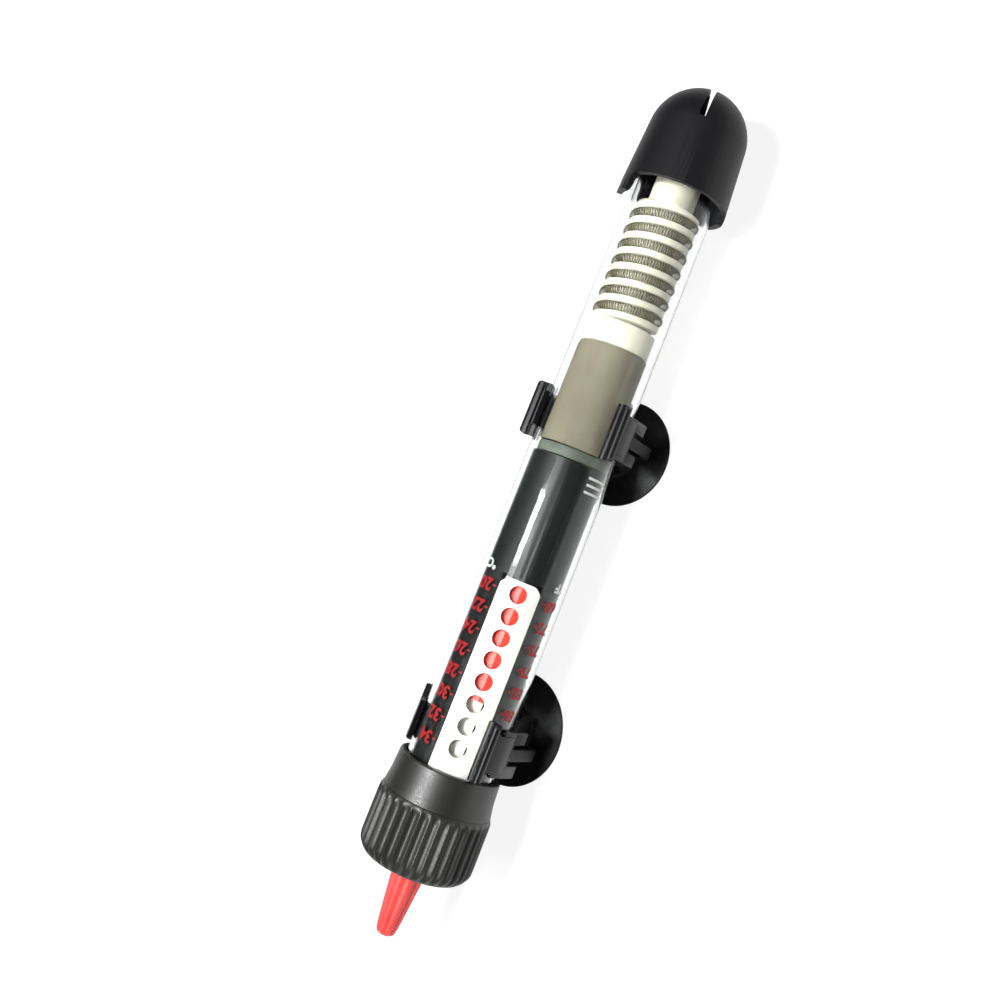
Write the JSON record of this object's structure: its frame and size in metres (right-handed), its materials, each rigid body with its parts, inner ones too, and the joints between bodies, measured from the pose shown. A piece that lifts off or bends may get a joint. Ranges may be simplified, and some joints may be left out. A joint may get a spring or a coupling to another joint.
{
  "type": "submersible aquarium heater",
  "caption": "Glass-tube submersible aquarium heater with slotted end guard, visible heating coil, temperature windows, ribbed cap, adjuster knob and clip-on suction cups.",
  "frame": {"origin": "on the plane of the suction cups' lips, below the middle of the length", "axes": "+X along the tube towards the guarded closed end, +Z away from the suction cups"},
  "size_m": [0.2508, 0.0335, 0.0404],
  "materials": {
    "guard_plastic": "matte black moulded plastic",
    "glass": "clear, polished",
    "ceramic": null,
    "resistance_wire": "oxidised nickel-chrome wire",
    "steel": "bright steel",
    "brass": "satin",
    "heat_shield": "grey-brown mica-type insulation",
    "frame_plastic": "satin black",
    "white_plastic": "satin white",
    "red_plastic": "satin red",
    "lamp_glass": "small neon lamp",
    "resistor_body": "lacquered",
    "cap_plastic": "satin black moulded plastic",
    "rubber": "black rubber",
    "knob_plastic": "red moulded plastic",
    "clip_plastic": "black springy plastic"
  },
  "bodies": {
    "heater": {"end_guard": "guard_plastic", "glass_tube": "glass", "ceramic_core": "ceramic", "heating_coil": "resistance_wire", "coil_lead_a": "steel", "coil_lead_b": "steel", "heat_shield_sleeve": "heat_shield", "divider_disc": "heat_shield", "control_frame": "frame_plastic", "scale_plate": "white_plastic", "bimetal_post": "brass", "fixed_contact": "steel", "magnet": "steel", "blade_post": "brass", "setting_blade": "steel", "neon_lamp": "lamp_glass", "lamp_resistor": "resistor_body", "terminal_a": "brass", "terminal_b": "brass", "cap_collar": "cap_plastic", "ribbed_cap": "cap_plastic", "cord_gland": "rubber", "rubber_stopper": "rubber", "spindle_bush": "brass"},
    "adjuster": {"adjuster_knob": "knob_plastic", "spindle": "steel", "lead_screw": "steel", "spindle_seal": "rubber"},
    "indicator": {"indicator_slide": "red_plastic"},
    "bimetal": {"bimetal_strip": "steel", "moving_contact": "steel"},
    "guard_end_clip": {"clip_guard_end": "clip_plastic"},
    "cap_end_clip": {"clip_cap_end": "clip_plastic"},
    "guard_end_cup": {"suction_cup_guard_end": "rubber"},
    "cap_end_cup": {"suction_cup_cap_end": "rubber"}
  },
  "joints": [
    {"name": "knob_turn", "type": "hinge", "parent": "heater", "child": "adjuster", "pos_m": [-0.11, 0, 0.0244], "axis": [1, 0, 0], "range_deg": [-540, 454]},
    {"name": "indicator_travel", "type": "slide", "parent": "heater", "child": "indicator", "axis": [-1, 0, 0], "range_m": [-0.0182, 0.0153]},
    {"name": "bimetal_bend", "type": "hinge", "parent": "heater", "child": "bimetal", "pos_m": [0.0036, 0.00056, 0.02357], "axis": [0, 0.8291, 0.5591], "range_deg": [0, 3], "stiffness_Nm_per_rad": 0.02},
    {"name": "guard_end_clip_slide", "type": "slide", "parent": "heater", "child": "guard_end_clip", "axis": [1, 0, 0], "range_m": [-0.035, 0.055]},
    {"name": "cap_end_clip_slide", "type": "slide", "parent": "heater", "child": "cap_end_clip", "axis": [1, 0, 0], "range_m": [0, 0.035]},
    {"name": "guard_end_cup_spin", "type": "hinge", "parent": "guard_end_clip", "child": "guard_end_cup", "pos_m": [0.0186, 0, 0.006], "axis": [0, 0, 1], "continuous": true},
    {"name": "cap_end_cup_spin", "type": "hinge", "parent": "cap_end_clip", "child": "cap_end_cup", "pos_m": [-0.0669, 0, 0.006], "axis": [0, 0, 1], "continuous": true}
  ],
  "couplings": [
    {"joint": "knob_turn", "follows": "indicator_travel", "rad_per_m": 517.57}
  ]
}
